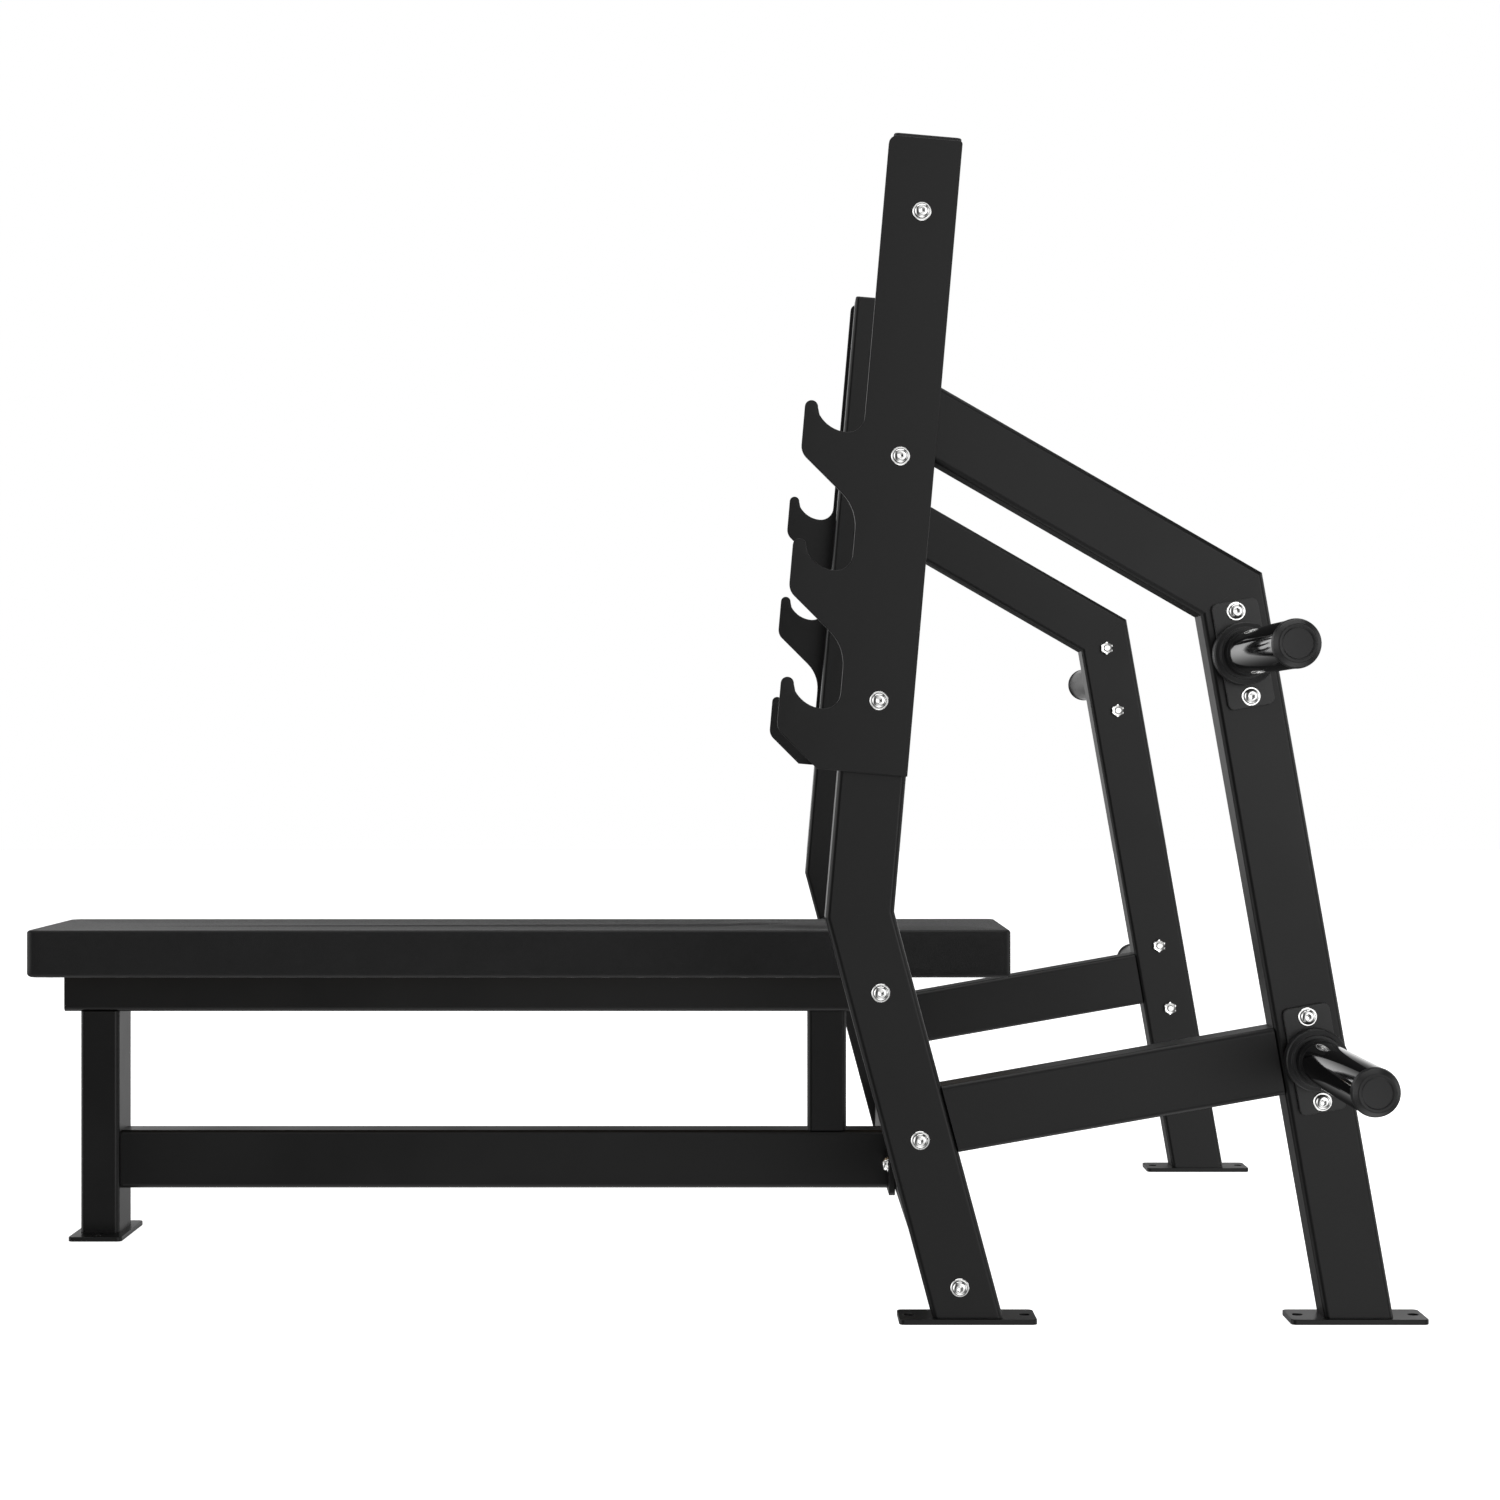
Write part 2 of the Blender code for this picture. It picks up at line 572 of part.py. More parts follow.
def bench_frame():
    """The bench's own weldment: legs, top beam, lower rail, foot plate and the rail's bolting plate."""
    beam_z = BENCH_BEAM_TOP - TUBE_DEEP / 2
    under_beam = BENCH_BEAM_TOP - TUBE_DEEP - GAP
    rail_z = sum(BEAM_Z) / 2
    flat, upright = (TUBE_DEEP, TUBE_WIDE), (TUBE_WIDE, TUBE_DEEP)
    beam = tube("bench_top_beam", (BENCH_BEAM_X[0], 0, beam_z), (BENCH_BEAM_X[1], 0, beam_z), flat, (0, 1, 0))
    drill(beam, [(x, 0, beam_z) for x in PAD_BOLTS_X], (0, 0, 1), TUBE_DEEP)
    tube("bench_front_leg", (BENCH_LEG_X, 0, FOOT_THICK + GAP), (BENCH_LEG_X, 0, under_beam), flat, (0, 1, 0))
    square = (TUBE_DEEP, TUBE_DEEP)
    tube("bench_mid_leg", (MID_LEG_X, 0, BEAM_Z[1] + GAP), (MID_LEG_X, 0, under_beam), square, (0, 1, 0))
    plate_x = BEAM_X - GAP - RAIL_PLATE_THICK / 2
    rail_start = BENCH_LEG_X + TUBE_DEEP / 2 + GAP
    rail = tube("bench_rail", (rail_start, 0, rail_z), (plate_x, 0, rail_z), upright, (0, 1, 0))
    spots = [(side * RAIL_BOLT_Y, RAIL_BOLT_Z - rail_z) for side in (-1, 1)]
    outlines = [rounded_rectangle(*RAIL_PLATE_SIZE, RAIL_PLATE_RADIUS)]
    outlines += [circle(spot, BOLT_HOLE_RADIUS, BOLT_STEPS) for spot in spots]
    matrix = axes_matrix((0, 1, 0), (0, 0, 1), (plate_x, 0, rail_z))
    combine(rail, extruded("bench_rail_plate", outlines, RAIL_PLATE_THICK, matrix), "UNION")
    for label, side in (("left", -1), ("right", 1)):
        seat = (plate_x - RAIL_PLATE_THICK / 2, side * RAIL_BOLT_Y, RAIL_BOLT_Z)
        through_bolt(f"rail_bolt_{label}", seat, (-1, 0, 0), RAIL_PLATE_THICK + GAP + TUBE_DEEP)

    foot_long, foot_wide = BENCH_FOOT
    hole = foot_wide / 2 - FOOT_HOLE_INSET
    foot_plate("bench_foot_plate", (BENCH_LEG_X, 0), (foot_long, foot_wide), [(0, hole), (0, -hole)])


def pad_bolt(name, x):
    """Bolt up through the top beam into a blind hole in the pad's board."""
    seat = Vector((x, 0, BENCH_BEAM_TOP - TUBE_DEEP))
    down = Vector((0, 0, -1))
    profile = bolt_profile(-TUBE_DEEP - PAD_BOLT_DEPTH)
    turned(name, profile, BOLT_STEPS, seat + down * GAP, down, ZINC_STEEL)


def pad():
    """Upholstered pad with rounded edges, and the board in the recess under it."""
    bottom = BENCH_BEAM_TOP + GAP
    length = PAD_X[1] - PAD_X[0]
    middle_x = sum(PAD_X) / 2
    centre = (middle_x, 0, bottom + PAD_HIGH / 2)
    outline = rounded_rectangle(length, PAD_WIDE, PAD_PLAN_RADIUS, 4)
    cushion = place("pad", extruded("pad", [outline], PAD_HIGH, Matrix.Translation(centre)), BLACK_VINYL, PARTS)
    round_over(cushion, bottom + PAD_HIGH)

    board_size = (length - 2 * BOARD_INSET, PAD_WIDE - 2 * BOARD_INSET)
    board_outline = rounded_rectangle(*board_size, PAD_PLAN_RADIUS, 2)
    board_centre = Matrix.Translation((middle_x, 0, bottom + BOARD_THICK / 2))
    board = place("pad_board", extruded("pad_board", [board_outline], BOARD_THICK, board_centre), PLYWOOD, PARTS)
    drill(board, [(x, 0, bottom) for x in PAD_BOLTS_X], (0, 0, 1), PAD_BOLT_DEPTH + GAP * 4)

    recess_size = [span + 2 * GAP for span in board_size]
    recess_outline = rounded_rectangle(*recess_size, PAD_PLAN_RADIUS + GAP, 2)
    recess_high = 2 * (BOARD_THICK + GAP)
    recess = extruded("pad_recess", [recess_outline], recess_high, Matrix.Translation((middle_x, 0, bottom)))
    combine(cushion, recess, "DIFFERENCE")
    for label, x in zip(("front", "rear"), PAD_BOLTS_X):
        pad_bolt(f"pad_bolt_{label}", x)


def round_over(cushion, top):
    """Rounds the cushion's top edge all the way round."""
    edit = bmesh.new()
    edit.from_mesh(cushion.data)
    bmesh.ops.dissolve_limit(edit, angle_limit=radians(1), verts=edit.verts, edges=edit.edges)
    rim = [edge for edge in edit.edges if all(abs(vertex.co.z - top) < GAP for vertex in edge.verts)]
    rim = [edge for edge in rim if edge.calc_face_angle() > pi / 4]
    bmesh.ops.bevel(
        edit, geom=rim, offset=PAD_EDGE_RADIUS, segments=PAD_EDGE_STEPS, affect="EDGES", profile=0.5,
        clamp_overlap=True,
    )
    edit.to_mesh(cushion.data)
    edit.free()


for item in list(bpy.data.objects):
    bpy.data.objects.remove(item)

PARTS = new_collection("olympic_bench_press")
CUTTERS = new_collection("cutters")
CUTTERS.hide_render = True

POWDER_BLACK = make_material("powder_coat_black", (0.021, 0.021, 0.022), 0.42)
ZINC_STEEL = make_material("zinc_plated_steel", (0.62, 0.62, 0.61), 0.28, 1.0)
BLACK_PLASTIC = make_material("black_plastic", (0.016, 0.016, 0.017), 0.5)
BLACK_VINYL = make_material("black_vinyl", (0.020, 0.020, 0.021), 0.48)
PLYWOOD = make_material("plywood", (0.45, 0.32, 0.19), 0.75)

for side_label, side_sign in (("left", -1), ("right", 1)):
    side_frame(side_label, side_sign)
cross_beam()
bench_frame()
pad()
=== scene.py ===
"""Looks of the olympic bench press: fine pieces in place of the CAD solids, materials, studio and camera.

Metres, in the CAD's own frame: +X from the lifter's feet to the rack's rear, +Y to the lifter's right, +Z up.
"""

from math import cos, pi, radians, sin, tan

import bmesh
import bpy
from mathutils import Matrix, Vector


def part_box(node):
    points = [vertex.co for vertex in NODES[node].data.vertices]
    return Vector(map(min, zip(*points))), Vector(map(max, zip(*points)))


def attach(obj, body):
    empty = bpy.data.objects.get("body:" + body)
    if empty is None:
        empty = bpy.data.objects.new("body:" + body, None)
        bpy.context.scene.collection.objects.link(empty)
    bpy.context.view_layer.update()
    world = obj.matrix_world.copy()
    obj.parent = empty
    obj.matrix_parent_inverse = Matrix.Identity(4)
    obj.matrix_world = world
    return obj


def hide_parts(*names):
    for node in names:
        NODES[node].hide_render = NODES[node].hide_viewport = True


X_AXIS, Y_AXIS, Z_AXIS = (Vector(axis) for axis in ((1, 0, 0), (0, 1, 0), (0, 0, 1)))

# The CAD leaves this much between touching solids. Welded ends are run on to close it.
GAP = 0.0003
# A face counts as large above this area in square metres, and as level with a direction above this cosine.
SMALL_FACE = 0.0001
LEVEL_COSINE = 0.9999
# The looser cosine for the small faces of an outline.
FLAT_COSINE = 0.999
# The share of a direction's largest area that a level needs to be the tube's wall.
WALL_SHARE = 0.3

TUBE_RADIUS = 0.006
TUBE_WALL = 0.003
CORNER_STEPS = 8

PLATE_EDGE = 0.0008
END_PLATE_THICK = 0.008
HORN_PLATE_THICK = 0.006

# The uprights' plugs stand proud of the tube, and the top beam's are sunk into it.
PLUG_HIGH = 0.0033
PLUG_SUNK = 0.0006
PLUG_EDGE = 0.0016
PLUG_STEM = 0.018
PLUG_SLACK = 0.0004
PLUG_RIM_INSET = 0.0002
PLUG_RIM_START = 0.00005
PLUG_LEAST_RADIUS = 0.0012

ROUND_STEPS = 48
HORN_STEPS = 96
COLLAR_STEPS = 72
WASHER_RADIUS, WASHER_THICK = 0.0104, 0.002
HEAD_RADIUS, HEAD_HIGH = 0.0086, 0.0055
SOCKET_ACROSS, SOCKET_DEEP = 0.0060, 0.0030
BOLT_RADIUS = 0.0049
NUT_ACROSS, NUT_HIGH = 0.0168, 0.0080
THREAD_PAST_NUT = 0.003

HORN_RADIUS = 0.025
HORN_BORE = HORN_RADIUS - TUBE_WALL
HORN_FIT = 0.0002
CAP_STEM_RADIUS = HORN_BORE - 0.0006
CAP_STEM_LONG = 0.020
CAP_HOLLOW = 0.0012
# A turned piece that is closed at its axis starts this far from it.
AXIS_RADIUS = 0.0005

CAMERA_AT = (0.087, -3.717, 0.640)
CAMERA_LENS = 67.32

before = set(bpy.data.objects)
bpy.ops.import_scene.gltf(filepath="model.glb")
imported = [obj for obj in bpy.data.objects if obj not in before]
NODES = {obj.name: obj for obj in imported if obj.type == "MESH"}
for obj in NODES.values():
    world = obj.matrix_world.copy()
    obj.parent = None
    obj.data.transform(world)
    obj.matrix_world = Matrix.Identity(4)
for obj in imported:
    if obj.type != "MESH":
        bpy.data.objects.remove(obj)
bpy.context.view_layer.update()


# Materials --------------------------------------------------------------------------------------------------


def new_material(name, roughness, metallic=0.0, specular=0.5):
    """A Principled material, with its shader and its node tree."""
    material = bpy.data.materials.new(name)
    material.use_nodes = True
    tree = material.node_tree
    shader = tree.nodes["Principled BSDF"]
    shader.inputs["Roughness"].default_value = roughness
    shader.inputs["Metallic"].default_value = metallic
    shader.inputs["Specular IOR Level"].default_value = specular
    return material, tree, shader


def node(tree, kind, **settings):
    made = tree.nodes.new(kind)
    for name, value in settings.items():
        if name in made.inputs:
            made.inputs[name].default_value = value
        else:
            setattr(made, name, value)
    return made


def metres(tree, stretch=(1, 1, 1)):
    """The point on the object in metres, with each axis stretched."""
    coordinates = node(tree, "ShaderNodeTexCoord")
    mapping = node(tree, "ShaderNodeMapping", Scale=stretch)
    tree.links.new(coordinates.outputs["Object"], mapping.inputs["Vector"])
    return mapping.outputs["Vector"]


def noise(tree, vector, scale, detail=2.0, roughness=0.5):
    made = node(tree, "ShaderNodeTexNoise", Scale=scale, Detail=detail, Roughness=roughness)
    tree.links.new(vector, made.inputs["Vector"])
    return made.outputs["Fac"]


def ramp(tree, value, low, high, start=0.3, end=0.7):
    """Colours or grey levels from low to high as the value goes from start to end."""
    made = node(tree, "ShaderNodeValToRGB")
    first, last = made.color_ramp.elements
    for element, place, level in ((first, start, low), (last, end, high)):
        element.position = place
        element.color = (*level, 1) if isinstance(level, tuple) else (level, level, level, 1)
    tree.links.new(value, made.inputs["Fac"])
    return made.outputs["Color"]


def bumped(tree, shader, heights):
    """Lays one bump over the next on the shader, from (height, strength, depth in metres)."""
    normal = None
    for height, strength, depth in heights:
        bump = node(tree, "ShaderNodeBump", Strength=strength, Distance=depth)
        tree.links.new(height, bump.inputs["Height"])
        if normal:
            tree.links.new(normal, bump.inputs["Normal"])
        normal = bump.outputs["Normal"]
    tree.links.new(normal, shader.inputs["Normal"])


def powder_coat(name, tone):
    """Satin black powder coat: fine orange peel, and a faint drift in gloss and tone."""
    material, tree, shader = new_material(name, 0.36, specular=0.32)
    vector = metres(tree)
    drift = noise(tree, vector, 9, 3)
    peel = noise(tree, vector, 620, 2)
    tree.links.new(ramp(tree, drift, tone * 0.85, tone * 1.15), shader.inputs["Base Color"])
    tree.links.new(ramp(tree, drift, 0.33, 0.39), shader.inputs["Roughness"])
    bumped(tree, shader, [(peel, 0.10, 0.0002)])
    return material


def gloss_black():
    """Polished black on the storage horns, with faint lengthwise rub marks from the plates."""
    material, tree, shader = new_material("gloss_black", 0.07, specular=0.7)
    rub = noise(tree, metres(tree, (220, 9, 220)), 1, 3)
    colour = ramp(tree, rub, (0.0030, 0.0030, 0.0032), (0.0045, 0.0045, 0.0048))
    tree.links.new(colour, shader.inputs["Base Color"])
    tree.links.new(ramp(tree, rub, 0.05, 0.11, 0.45, 0.8), shader.inputs["Roughness"])
    return material


def plastic():
    """Moulded black plastic with a fine spark-eroded grain."""
    material, tree, shader = new_material("moulded_plastic", 0.42, specular=0.4)
    vector = metres(tree)
    grain = noise(tree, vector, 2600, 1)
    tree.links.new(ramp(tree, noise(tree, vector, 30), (0.0095, 0.0095, 0.0098), (0.0120, 0.0120, 0.0124)),
                   shader.inputs["Base Color"])
    tree.links.new(ramp(tree, grain, 0.38, 0.47), shader.inputs["Roughness"])
    bumped(tree, shader, [(grain, 0.12, 0.0001)])
    return material


def zinc():
    """Bright zinc plate with faint turning marks and a slightly cloudy finish."""
    material, tree, shader = new_material("bright_zinc", 0.2, metallic=1.0)
    vector = metres(tree)
    cloud = noise(tree, vector, 260, 3)
    tree.links.new(ramp(tree, cloud, (0.88, 0.88, 0.87), (0.96, 0.96, 0.95)), shader.inputs["Base Color"])
    tree.links.new(ramp(tree, cloud, 0.11, 0.20), shader.inputs["Roughness"])
    bumped(tree, shader, [(noise(tree, vector, 1500, 1), 0.05, 0.0001)])
    return material


def vinyl():
    """Black upholstery vinyl: small pebbled grain with finer pores between."""
    material, tree, shader = new_material("pebbled_vinyl", 0.5, specular=0.28)
    shader.inputs["Sheen Weight"].default_value = 0.12
    shader.inputs["Sheen Roughness"].default_value = 0.3
    vector = metres(tree)
    pebbles = node(tree, "ShaderNodeTexVoronoi", Scale=620.0, feature="DISTANCE_TO_EDGE")
    tree.links.new(vector, pebbles.inputs["Vector"])
    grain = ramp(tree, pebbles.outputs["Distance"], 0.0, 1.0, 0.0, 0.32)
    pores = noise(tree, vector, 1900, 2)
    tree.links.new(ramp(tree, noise(tree, vector, 24, 3), (0.0060, 0.0060, 0.0062), (0.0082, 0.0082, 0.0085)),
                   shader.inputs["Base Color"])
    tree.links.new(ramp(tree, pores, 0.44, 0.54), shader.inputs["Roughness"])
    bumped(tree, shader, [(grain, 0.30, 0.0003), (pores, 0.20, 0.0001)])
    return material


def plywood():
    """Birch plywood, its grain along the pad."""
    material, tree, shader = new_material("birch_plywood", 0.7)
    grain = noise(tree, metres(tree, (3, 60, 60)), 1, 6, 0.6)
    tree.links.new(ramp(tree, grain, (0.36, 0.24, 0.13), (0.56, 0.42, 0.26)), shader.inputs["Base Color"])
    tree.links.new(ramp(tree, grain, 0.62, 0.76), shader.inputs["Roughness"])
    bumped(tree, shader, [(grain, 0.2, 0.0004)])
    return material


# Measuring the CAD ------------------------------------------------------------------------------------------


def large_faces(cad_node):
    return [face for face in NODES[cad_node].data.polygons if face.area > SMALL_FACE]


def furthest_face(cad_node, normal):
    """How far out the node's outermost large face that looks this way lies, along the normal."""
    return max(
        face.center.dot(normal) for face in large_faces(cad_node) if face.normal.dot(normal) > LEVEL_COSINE
    )


def tube_wall(cad_node, normal):
    """How far out the tube's own wall lies this way. End plates may reach further, but are smaller."""
    areas = {}
    for face in large_faces(cad_node):
        if face.normal.dot(normal) > LEVEL_COSINE:
            level = round(face.center.dot(normal), 4)
            areas[level] = areas.get(level, 0) + face.area
    least = WALL_SHARE * max(areas.values())
    return max(level for level, area in areas.items() if area > least)


class TubeRun:
    """Where a CAD tube runs: the axes along and across it, its centre line, its size and its end planes."""

    def __init__(self, cad_node, depth_axis):
        self.depth_axis = depth_axis
        sides = [face for face in large_faces(cad_node) if abs(face.normal.dot(depth_axis)) < 0.01]
        self.width_axis = max(sides, key=lambda face: face.area).normal.copy()
        if sum(self.width_axis) < 0:
            self.width_axis.negate()
        self.along = self.depth_axis.cross(self.width_axis)
        self.centre, self.size = Vector(), []
        for axis in (self.width_axis, self.depth_axis):
            high, low = tube_wall(cad_node, axis), -tube_wall(cad_node, -axis)
            self.centre += axis * (high + low) / 2
            self.size.append(high - low)
        self.ends = [self.end_plane(cad_node, self.along * side) for side in (-1, 1)]

    def end_plane(self, cad_node, outward):
        """A point on the tube's end face and the face's normal, at the end that looks this way."""
        mesh = NODES[cad_node].data
        tip = max(mesh.vertices, key=lambda vertex: vertex.co.dot(outward)).co.copy()
        near = {vertex.index for vertex in mesh.vertices if (vertex.co - tip).length < GAP / 10}
        at_tip = [
            face for face in mesh.polygons
            if face.normal.dot(outward) > 0.5 and near.intersection(face.vertices)
        ]
        return tip, max(at_tip, key=lambda face: face.area).normal.copy()

    def at_end(self, end, across, deep, extend=0.0):
        """A point this far across the section, on the end's plane, moved out along the tube by extend."""
        start = self.centre + self.width_axis * across + self.depth_axis * deep
        point, normal = self.ends[end]
        travel = (point - start).dot(normal) / self.along.dot(normal)
        return start + self.along * (travel + extend * (1 if end else -1))


def face_loops(cad_node, normal):
    """The edge loops of the node's outermost flat face that looks this way: its outline and its holes."""
    mesh = NODES[cad_node].data
    furthest = furthest_face(cad_node, normal)
    after = {}
    for face in mesh.polygons:
        if face.normal.dot(normal) < FLAT_COSINE or abs(face.center.dot(normal) - furthest) > GAP / 2:
            continue
        corners = [tuple(round(value, 6) for value in mesh.vertices[index].co) for index in face.vertices]
        for start, end in zip(corners, corners[1:] + corners[:1]):
            after.setdefault(start, set()).add(end)
    # An edge inside the face is walked both ways, so only the border's edges stay.
    border = {start: [end for end in ends if start not in after[end]] for start, ends in after.items()}
    border = {start: ends[0] for start, ends in border.items() if ends}
    loops = []
    while border:
        start, point = border.popitem()
        loop = [start]
        while point != start:
            loop.append(point)
            point = border.pop(point)
        loops.append([Vector(corner) for corner in loop])
    return loops


# Mesh work --------------------------------------------------------------------------------------------------


def axes_matrix(x_axis, y_axis, origin):
    """A frame with these x and y axes, and z square to both."""
    turned = Matrix((x_axis, y_axis, x_axis.cross(y_axis))).transposed()
    return Matrix.Translation(origin) @ turned.to_4x4()


def arc(centre, radius, start, end, steps):
    turns = [start + (end - start) * step / steps for step in range(steps + 1)]
    return [(centre[0] + radius * cos(turn), centre[1] + radius * sin(turn)) for turn in turns]


def rounded_rectangle(wide, high, radius, steps=CORNER_STEPS):
    points = []
    for quarter, (x_side, y_side) in enumerate(((1, 1), (-1, 1), (-1, -1), (1, -1))):
        centre = (x_side * (wide / 2 - radius), y_side * (high / 2 - radius))
        points += arc(centre, radius, quarter * pi / 2, (quarter + 1) * pi / 2, steps)
    return points


def mesh_from(name, edit, sharp=30):
    """A smooth-shaded mesh from a bmesh, with its normals out and its edges sharp past this many degrees."""
    bmesh.ops.recalc_face_normals(edit, faces=edit.faces)
    mesh = bpy.data.meshes.new(name)
    edit.to_mesh(mesh)
    edit.free()
    mesh.shade_smooth()
    mesh.set_sharp_from_angle(angle=radians(sharp))
    return mesh


def bridge(edit, rings, close=False):
    """Faces between each ring of vertices and the next, and from the last to the first if it closes."""
    pairs = list(zip(rings, rings[1:] + rings[:1])) if close else list(zip(rings, rings[1:]))
    for ring, following in pairs:
        for index in range(len(ring)):
            after = (index + 1) % len(ring)
            edit.faces.new((ring[index], ring[after], following[after], following[index]))


def piece(name, mesh, material, slot, *replaced, weighted=True):
    """An object that rides on the part and stands for these CAD nodes."""
    made = bpy.data.objects.new(f"fine_{name}", mesh)
    bpy.context.scene.collection.objects.link(made)
    mesh.materials.clear()
    mesh.materials.append(material)
    if weighted:
        even = made.modifiers.new("even shading", "WEIGHTED_NORMAL")
        even.keep_sharp = True
        even.weight = 100
    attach(made, "root")
    if replaced:
        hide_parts(*replaced)
    return made


def tube_mesh(name, run, extend=(0.0, 0.0)):
    """Hollow rectangular tube with round corners, between the run's end planes."""
    edit = bmesh.new()
    wide, deep = run.size
    walls = ((0, TUBE_RADIUS), (TUBE_WALL, TUBE_RADIUS - TUBE_WALL))
    outer, inner = (rounded_rectangle(wide - 2 * inset, deep - 2 * inset, radius) for inset, radius in walls)
    rings = []
    for section, end in ((outer, 0), (outer, 1), (inner, 1), (inner, 0)):
        rings.append([edit.verts.new(run.at_end(end, across, down, extend[end])) for across, down in section])
    bridge(edit, rings, close=True)
    return mesh_from(name, edit)


def plate_mesh(name, cad_node, normal, thick, edge=PLATE_EDGE):
    """A plate with rounded edges, from the outline and holes of the CAD face that looks along the normal."""
    loops = face_loops(cad_node, normal)
    x_axis = normal.orthogonal().normalized()
    origin = loops[0][0] - normal * thick / 2
    matrix = axes_matrix(x_axis, normal.cross(x_axis), origin)
    curve = bpy.data.curves.new(name, "CURVE")
    curve.dimensions = "2D"
    curve.fill_mode = "BOTH"
    curve.extrude = thick / 2 - edge
    curve.bevel_depth = edge
    curve.bevel_resolution = 2
    curve.offset = -edge
    flat = matrix.inverted()
    for loop in loops:
        spline = curve.splines.new("POLY")
        spline.points.add(len(loop) - 1)
        spline.use_cyclic_u = True
        for point, corner in zip(spline.points, loop):
            local = flat @ corner
            point.co = (local.x, local.y, 0, 1)
    drawn = bpy.data.objects.new(name, curve)
    bpy.context.scene.collection.objects.link(drawn)
    made = bpy.data.meshes.new_from_object(drawn.evaluated_get(bpy.context.evaluated_depsgraph_get()))
    bpy.data.objects.remove(drawn)
    bpy.data.curves.remove(curve)
    made.transform(matrix)
    edit = bmesh.new()
    edit.from_mesh(made)
    bpy.data.meshes.remove(made)
    bmesh.ops.remove_doubles(edit, verts=edit.verts, dist=0.00002)
    return mesh_from(name, edit, 50)


def filleted(corners, steps=4):
    """A profile of (radius, height) points, each given corner (radius, height, fillet) rounded off."""
    points = [corners[0][:2]]
    for before, corner, after in zip(corners, corners[1:], corners[2:]):
        here, fillet = Vector(corner[:2]), corner[2]
        back, on = (Vector(other[:2]) - here for other in (before, after))
        half = back.angle(on) / 2
        reach = min(fillet / tan(half), back.length * 0.49, on.length * 0.49) if fillet else 0
        if not reach:
            points.append(corner[:2])
            continue
        start, end = here + back.normalized() * reach, here + on.normalized() * reach
        for step in range(steps + 1):
            share = step / steps
            spot = start * (1 - share) ** 2 + here * 2 * share * (1 - share) + end * share ** 2
            points.append((spot.x, spot.y))
    points.append(corners[-1][:2])
    return points


def hexagon_reach(turn):
    """How far a hexagon of unit half-width across its flats reaches at this angle."""
    return 1 / cos((turn % (pi / 3)) - pi / 6)


def add_turned(edit, profile, matrix, steps=ROUND_STEPS, closed_ring=False):
    """Turns (radius, height) or (radius, height, "hex") points about the matrix's z axis, with capped ends."""
    rings = []
    for radius, height, *shape in profile:
        ring = []
        for step in range(steps):
            turn = 2 * pi * step / steps
            reach = radius * hexagon_reach(turn) if shape else radius
            ring.append(edit.verts.new(matrix @ Vector((reach * cos(turn), reach * sin(turn), height))))
        rings.append(ring)
    bridge(edit, rings, close=closed_ring)
    if not closed_ring:
        edit.faces.new(rings[0])
        edit.faces.new(rings[-1])


def facing(axis, origin, up=Z_AXIS):
    """A frame whose z axis is this axis, and whose x axis is as near up as it can be."""
    x_axis = (up - axis * up.dot(axis)).normalized()
    return axes_matrix(x_axis, axis.cross(x_axis), origin)


# Pieces -----------------------------------------------------------------------------------------------------


def tube_piece(name, depth_axis, extend=(0.0, 0.0)):
    run = TubeRun(name, depth_axis)
    piece(name.replace("_tube", ""), tube_mesh(name, run, extend), POWDER, "powder_coat_black", name)
    return run


def tube_plug(name, run, end, proud):
    """A moulded plug in a tube's open end: a flat cap with rounded edges and a stem inside the tube."""
    edit = bmesh.new()
    wide, deep = run.size
    inside = TUBE_WALL + PLUG_SLACK
    rim = PLUG_RIM_INSET if proud > 0 else inside
    layers = [(inside, -PLUG_STEM)]
    if proud > 0:
        layers += [(inside, 0), (rim, PLUG_RIM_START)]
    layers.append((rim, proud - PLUG_EDGE))
    layers += [
        (rim + PLUG_EDGE * (1 - cos(turn)), proud - PLUG_EDGE * (1 - sin(turn)))
        for turn in (pi / 8, pi / 4, 3 * pi / 8, pi / 2)
    ]
    rings = []
    for inset, out in layers:
        radius = max(TUBE_RADIUS - inset, PLUG_LEAST_RADIUS)
        section = rounded_rectangle(wide - 2 * inset, deep - 2 * inset, radius)
        rings.append([edit.verts.new(run.at_end(end, across, down, out)) for across, down in section])
    bridge(edit, rings)
    edit.faces.new(rings[0])
    edit.faces.new(rings[-1])
    piece(name, mesh_from(name, edit, 40), PLASTIC, "black_plastic")


def washer_profile():
    """A washer with broken edges, sitting on height 0. The edge by the bolt's head is the rounder one."""
    return [
        (BOLT_RADIUS, 0.0),
        (WASHER_RADIUS - 0.0003, 0.0),
        (WASHER_RADIUS, 0.0003),
        (WASHER_RADIUS, WASHER_THICK - 0.0005),
        (WASHER_RADIUS - 0.0005, WASHER_THICK),
        (BOLT_RADIUS, WASHER_THICK),
    ]


def bolt_profile(thread_end):
    """From the socket's floor up its hex wall, over the dome, and down the shank to its chamfered end."""
    top = WASHER_THICK + HEAD_HIGH
    socket = SOCKET_ACROSS / 2
    crown = socket * 1.35
    dome = [
        (crown + (HEAD_RADIUS - crown) * sin(turn), top - HEAD_HIGH * 0.72 * (1 - cos(turn)))
        for turn in (radians(angle) for angle in range(0, 91, 10))
    ]
    return [
        (0.0004, top - SOCKET_DEEP - 0.0006),
        (socket * 0.98, top - SOCKET_DEEP, "hex"),
        (socket, top - 0.0003, "hex"),
        (socket * 1.12, top, "hex"),
        *dome,
        (HEAD_RADIUS, WASHER_THICK + 0.0002),
        (BOLT_RADIUS, WASHER_THICK + 0.0001),
        (BOLT_RADIUS, thread_end + 0.0028),
        (BOLT_RADIUS - 0.0007, thread_end + 0.0022),
        (BOLT_RADIUS, thread_end + 0.0016),
        (BOLT_RADIUS - 0.0009, thread_end),
    ]


